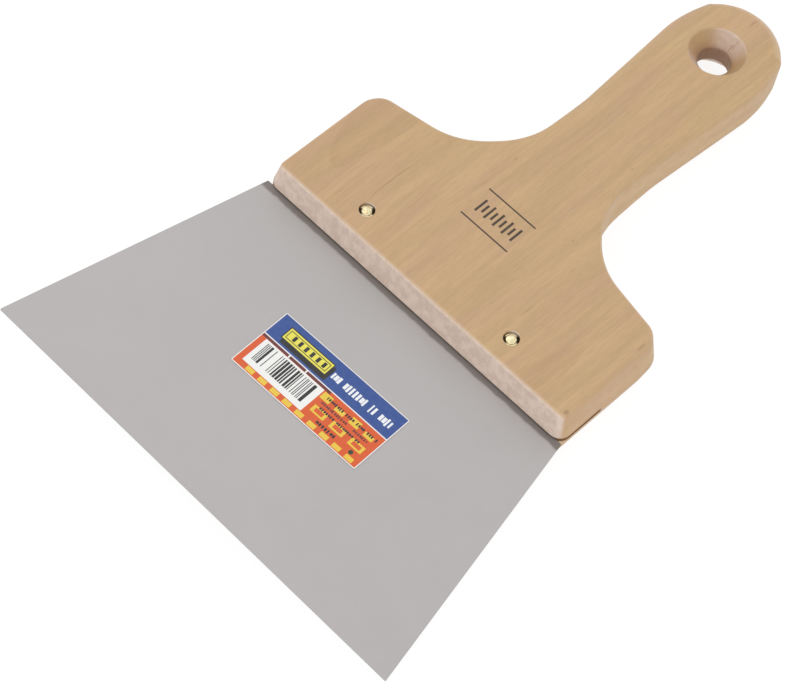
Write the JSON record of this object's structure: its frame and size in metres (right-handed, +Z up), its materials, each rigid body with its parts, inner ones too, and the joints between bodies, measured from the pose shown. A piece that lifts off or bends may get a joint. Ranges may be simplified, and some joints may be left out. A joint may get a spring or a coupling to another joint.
{
  "type": "drywall taping knife",
  "caption": "Wide tapered steel blade set in the slotted head of a one-piece wooden handle with a narrow neck, rivets through the head and a countersunk hanging hole in the grip.",
  "frame": {"origin": "under the middle of the tool's length, on the blade's centre plane, at the height of the handle's flat underside", "axes": "+X across the blade, +Y from the blade's working edge to the butt of the handle, +Z up, square to the blade"},
  "size_m": [0.1798, 0.2809, 0.022],
  "materials": {
    "steel": "satin rolled stainless sheet",
    "beech": "sanded, thinly lacquered beech",
    "brass": "brass-plated rivet, dulled",
    "label_paper": "glossy printed paper"
  },
  "bodies": {
    "root": {"blade": "steel", "handle": "beech", "rivet_sleeve_left": "brass", "rivet_sleeve_right": "brass", "rivet_pin_left": "brass", "rivet_pin_right": "brass", "label": "label_paper"}
  },
  "joints": []
}
